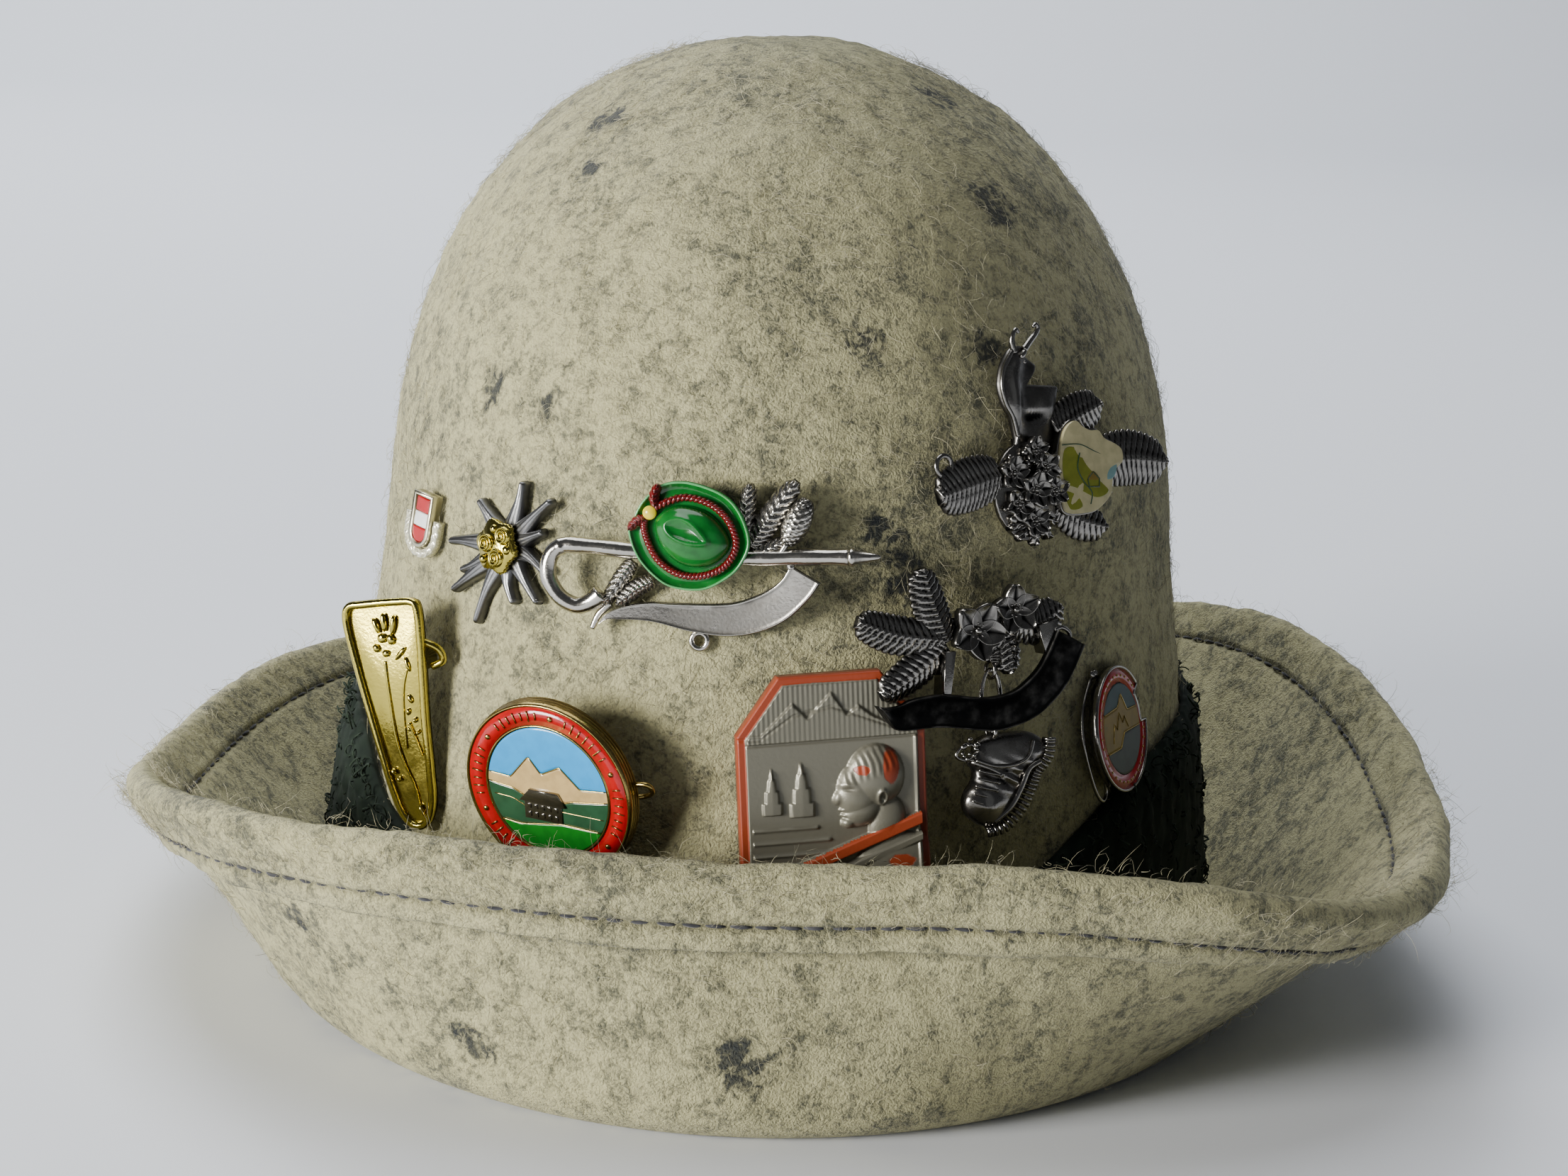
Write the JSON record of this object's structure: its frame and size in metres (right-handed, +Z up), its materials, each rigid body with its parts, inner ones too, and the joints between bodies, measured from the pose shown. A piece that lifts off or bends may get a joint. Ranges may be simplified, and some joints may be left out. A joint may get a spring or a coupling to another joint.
{
  "type": "tyrolean hat",
  "caption": "Alpine felt hat with a rounded crown, turned-up stitched brim, dark green wool band and collected metal and enamel pins round the front.",
  "frame": {"origin": "on the table, under the middle of the hat's bounding box", "axes": "+Z up through the crown, -Y towards the side that carries the pins, +X to the right as that side is seen"},
  "size_m": [0.248, 0.275, 0.1728],
  "materials": {
    "felt": "pressed wool felt, pale heather grey-beige",
    "band": "curly dark green wool",
    "silver": "bright cast white metal",
    "dark_silver": "dark antique silver finish",
    "gold": "polished gilt",
    "brass": "satin gilt",
    "red_enamel": "glossy red enamel",
    "white_enamel": "glossy white enamel",
    "pale_glitter": "pale gilt with clear glitter enamel",
    "green_enamel": "glossy translucent green enamel",
    "cord_red": "red-brown enamel",
    "yellow_enamel": "glossy yellow enamel",
    "sky_enamel": "glossy light blue enamel",
    "hill_enamel": "glossy dark green enamel",
    "peak_enamel": "glossy beige enamel",
    "meadow_enamel": "glossy bright green enamel",
    "orange_plastic": "orange-brown moulding with worn silver-grey paint",
    "ochre_enamel": "glossy ochre enamel",
    "teal_enamel": "glossy teal enamel",
    "grey_enamel": "glossy grey enamel",
    "cream_enamel": "glossy cream and pale green enamel"
  },
  "bodies": {
    "root": {"felt_body": "felt", "hat_band": "band", "stripe_badge_body": "pale_glitter", "stripe_badge_wreath": "pale_glitter", "stripe_badge_field_lower": "red_enamel", "stripe_badge_field_middle": "white_enamel", "stripe_badge_field_upper": "red_enamel", "edelweiss_petals": "silver", "edelweiss_centre": "gold", "cane_pin_casting": "silver", "cane_pin_hat": "green_enamel", "cane_pin_cord": "cord_red", "cane_pin_knot": "yellow_enamel", "cane_pin_feather": "cord_red", "gold_pin": "gold", "round_badge_tray": "brass", "round_badge_ring": "red_enamel", "round_badge_meadow": "meadow_enamel", "round_badge_hills": "hill_enamel", "round_badge_peaks": "peak_enamel", "round_badge_sky": "sky_enamel", "plaque": "orange_plastic", "chamois_brooch_casting": "dark_silver", "chamois_brooch_shield": "cream_enamel", "twig_brooch_casting": "dark_silver", "twig_brooch_jump_ring": "dark_silver", "twig_brooch_boot": "dark_silver", "side_badge_tray": "brass", "side_badge_ring": "red_enamel", "side_badge_ground": "grey_enamel", "side_badge_field": "ochre_enamel", "side_badge_sky": "teal_enamel"}
  },
  "joints": []
}
